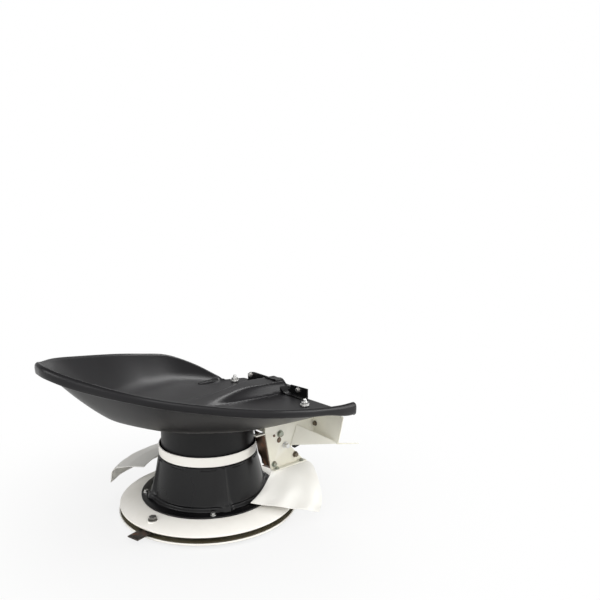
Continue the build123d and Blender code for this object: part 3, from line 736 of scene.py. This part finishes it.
hole_rims = bmesh.new()
for side in (1, -1):
    place = Matrix.Translation((rimmed_hole.x, side * plate_face, rimmed_hole.y))
    place = place @ Matrix.Rotation(math.radians(90), 4, "X")
    rim = bmesh.ops.create_circle(hole_rims, segments=40, radius=0.0068, matrix=place)["verts"]
    loop = list(dict.fromkeys(edge for vert in rim for edge in vert.link_edges))
    for radius, stand in ((0.0068, 0.0012), (0.0086, 0.0014), (0.0094, 0.0006), (0.0096, 0.0)):
        loop, new_verts = grown(hole_rims, loop)
        for vert in new_verts:
            spot = rimmed_hole + (vert.co.xz - rimmed_hole).normalized() * radius
            vert.co = (spot.x, side * (plate_face + stand), spot.y)
bmesh.ops.recalc_face_normals(hole_rims, faces=hole_rims.faces)
piece("plate_hole_rims", hole_rims, plate_cream_painted_shade, "frame", "cream_paint")

# Scraper strips: steel folded from the front edge of each cheek plate in towards the drum, to keep
# wound grass off the band. They stop about 10 mm short of it. Their dark rusty brown is painted shade, for
# the shadow that lies on them beside the drum.
def round_edges(made, width, degrees):
    """Rounds the sharp edges of a thickened sheet."""
    edge = made.modifiers.new("edge", "BEVEL")
    edge.width = width
    edge.segments = 2
    edge.limit_method = "ANGLE"
    edge.angle_limit = math.radians(degrees)


strip_low, strip_high, strip_outer = 0.163, 0.273, 0.1815
scrapers = bmesh.new()
for side in (1, -1):
    made = bmesh.ops.create_grid(scrapers, x_segments=6, y_segments=20, size=0.5)["verts"]
    for vert in made:
        u, v = vert.co.x + 0.5, vert.co.y + 0.5
        height = strip_low + (strip_high - strip_low) * v
        inner = 0.135 + 0.012 * smooth((0.200 - height) / 0.020)
        front = -0.0855 - 0.0235 * (strip_high - height) / 0.126
        vert.co = (front + 0.003 * math.sin(math.pi * u), side * (inner + (strip_outer - inner) * u), height)
bmesh.ops.recalc_face_normals(scrapers, faces=scrapers.faces)
# The dark rusty brown of this steel is painted shade for the shadow beside the drum.
scraper_painted_shade = bare_steel("steel_scraper_painted_shade", (0.16, 0.11, 0.08), 0.45, 0.8)
strips = piece("scraper_strips", scrapers, scraper_painted_shade, "frame", "black_paint")
thicken(strips, 0.003)
round_edges(strips, 0.0006, 30)

# Buffers: two blocks of black rubber under the arms of the cheek plates, with a dull and
# dusty skin.
rubber_black = black_gloss("black_rubber", 0.55, 0.35)
dressed("rubber_buffers", "buffers", 0.002, rubber_black, "frame", "rubber", segments=3)

# Hitch bracket: black bent steel over the hood's rear edge, bolted through at its ends.
# Two stepped knobs hold the deck down on the cheek plates' flanges.
bracket_black = black_gloss("black_bracket", 0.24, 0.12)
dressed("hitch_bracket_bent", "hitch_bracket", 0.0012, bracket_black, "frame", "black_paint")
bracket_bolts = bmesh.new()
for y, z in ((-0.172, 0.344), (0.085, 0.345)):
    bolt(bracket_bolts, Matrix.Translation((-0.3102, y, z)) @ forward, 0.013, 0.008)
even(piece("bracket_bolts", bracket_bolts, zinc_steel, "frame", "zinc_steel"))
knobs = copied("hood_fixings", 0.0012)
for side in (1, -1):
    seat = min(vert.co.z for vert in knobs.verts if vert.co.y * side > 0)
    bolt(knobs, Matrix.Translation((-0.248, side * 0.187, seat + 0.0035)), 0.021, 0.0085)
even(piece("hood_fixing_knobs", knobs, white_zinc, "frame", "zinc_steel", "hood_fixings"))

# Side guards: sheets of coated cream cloth that hang from the cheek plates' feet beside
# the drum and keep thrown stones in. Each is one sheet with rounded edges, folded softly.
cloth_thickness = 0.0022


def coated_cloth(name):
    """Cream coated cloth: a fine weave under the coating, and patches of soil."""
    material, tree = new_material(name)
    spread = tree.node("TexCoord", {}, {}, "UV")
    place = tree.node("TexCoord", {}, {}, "Object")
    warp = tree.node("TexWave", {"bands_direction": "X"}, {"Vector": spread, "Scale": 90})
    weft = tree.node("TexWave", {"bands_direction": "Y"}, {"Vector": spread, "Scale": 90})
    cloud = tree.specks(place, 14, 6)
    soil = tree.node("MapRange", {}, {"Value": cloud, "From Min": 0.5, "From Max": 0.75, "To Max": 0.3})
    base = tree.blend(cloud, (0.77, 0.755, 0.71), (0.82, 0.81, 0.77))
    soiled = tree.blend(soil, base, (0.74, 0.70, 0.62))
    bump = tree.node("Bump", {}, {"Strength": 0.12, "Distance": 0.0004, "Height": warp * weft})
    tree.surface(tree.node("BsdfPrincipled", {}, {
        "Base Color": soiled, "Roughness": cloud * 0.12 + 0.45, "Normal": bump}))
    return material


def curve_length(point_at, steps=30):
    """The length of a curve that is given as a function of a share."""
    points = [point_at(step / steps) for step in range(steps + 1)]
    return sum((after - before).length for before, after in zip(points, points[1:]))


def cloth_sheet(name, point_at, columns, rows, node):
    """A hung sheet on a grid. Its place and its folds come from point_at, a function of u and v."""
    mesh = bmesh.new()
    bmesh.ops.create_grid(mesh, x_segments=columns, y_segments=rows, size=0.5, calc_uvs=True)
    uv = mesh.loops.layers.uv.verify()
    shares = {vert: (vert.co.x + 0.5, vert.co.y + 0.5) for vert in mesh.verts}
    for face in mesh.faces:
        for loop in face.loops:
            loop[uv].uv = shares[loop.vert]
    for vert, (u, v) in shares.items():
        vert.co = point_at(u, v)
    bmesh.ops.recalc_face_normals(mesh, faces=mesh.faces)
    area = sum(face.calc_area() for face in mesh.faces)
    wide = max(curve_length(lambda u: point_at(u, v)) for v in (0, 0.5, 1))
    long = max(curve_length(lambda v: point_at(u, v)) for u in (0, 0.5, 1))
    made = piece(name, mesh, guard_cloth, "frame", "cream_cloth", node)
    thicken(made, cloth_thickness, offset=0)
    round_edges(made, 0.0007, 50)


def partway(points, share):
    """A point at a share of the way along a list of points, by length."""
    lengths = [(after - before).length for before, after in zip(points, points[1:])]
    left = share * sum(lengths)
    for index, length in enumerate(lengths):
        if left <= length:
            return points[index].lerp(points[index + 1], left / length)
        left -= length
    return points[-1]


guard_cloth = coated_cloth("cloth_coated")
left_inner = through([(-0.107, 0.186, 0.1455), (-0.095, 0.186, 0.125), (-0.062, 0.192, 0.096),
                      (-0.010, 0.202, 0.076)], 12, (0.3, 0, -1), (1, 0.2, -0.3))
left_outer = through([(-0.246, 0.186, 0.1455), (-0.255, 0.213, 0.138), (-0.242, 0.251, 0.118),
                      (-0.220, 0.293, 0.092), (-0.196, 0.325, 0.066), (-0.163, 0.349, 0.052)], 12,
                     (-0.4, 0.9, -0.1), (0.7, 0.4, -0.4))


def left_point(u, v):
    """The left sheet fans out from its plate's foot, with a swell and a few soft folds."""
    swell = math.sin(math.pi * v) * math.sin(math.pi * u)
    fold = math.sin(math.pi * (5.2 * u + 0.5 * v)) * smooth(v * 1.3 - 0.15) * 0.0030
    wrinkle = 0.0016 * noise.noise(Vector((u * 7, v * 4, 3.1))) * v
    lift = 0.012 * swell + fold + wrinkle
    return partway(left_inner, v).lerp(partway(left_outer, v), u) + Vector((0, lift, lift * 0.6))


cloth_sheet("guard_left_cloth", left_point, 48, 48, "guard_left")


def right_point(u, v):
    """The right sheet arches over the disc's edge: out from the drum, then down in an apron."""
    bearing = math.radians(-50 - 72 * u)
    radii = (0.216 - 0.006 * u, 0.270, 0.318, 0.3285, 0.333)
    heights = (0.118 + 0.026 * u, 0.117 + 0.020 * u, 0.108 + 0.018 * u, 0.093 + 0.016 * u, 0.056 + 0.010 * u)
    index = min(int(v * 4), 3)
    part = smooth(v * 4 - index) * 0.35 + (v * 4 - index) * 0.65
    ripple = 0.0018 * noise.noise(Vector((u * 9, v * 3, 7.7))) * v
    radius = radii[index] + (radii[index + 1] - radii[index]) * part + ripple
    height = heights[index] + (heights[index + 1] - heights[index]) * part + ripple
    return Vector((radius * math.cos(bearing), radius * math.sin(bearing), height))


cloth_sheet("guard_right_cloth", right_point, 72, 40, "guard_right")
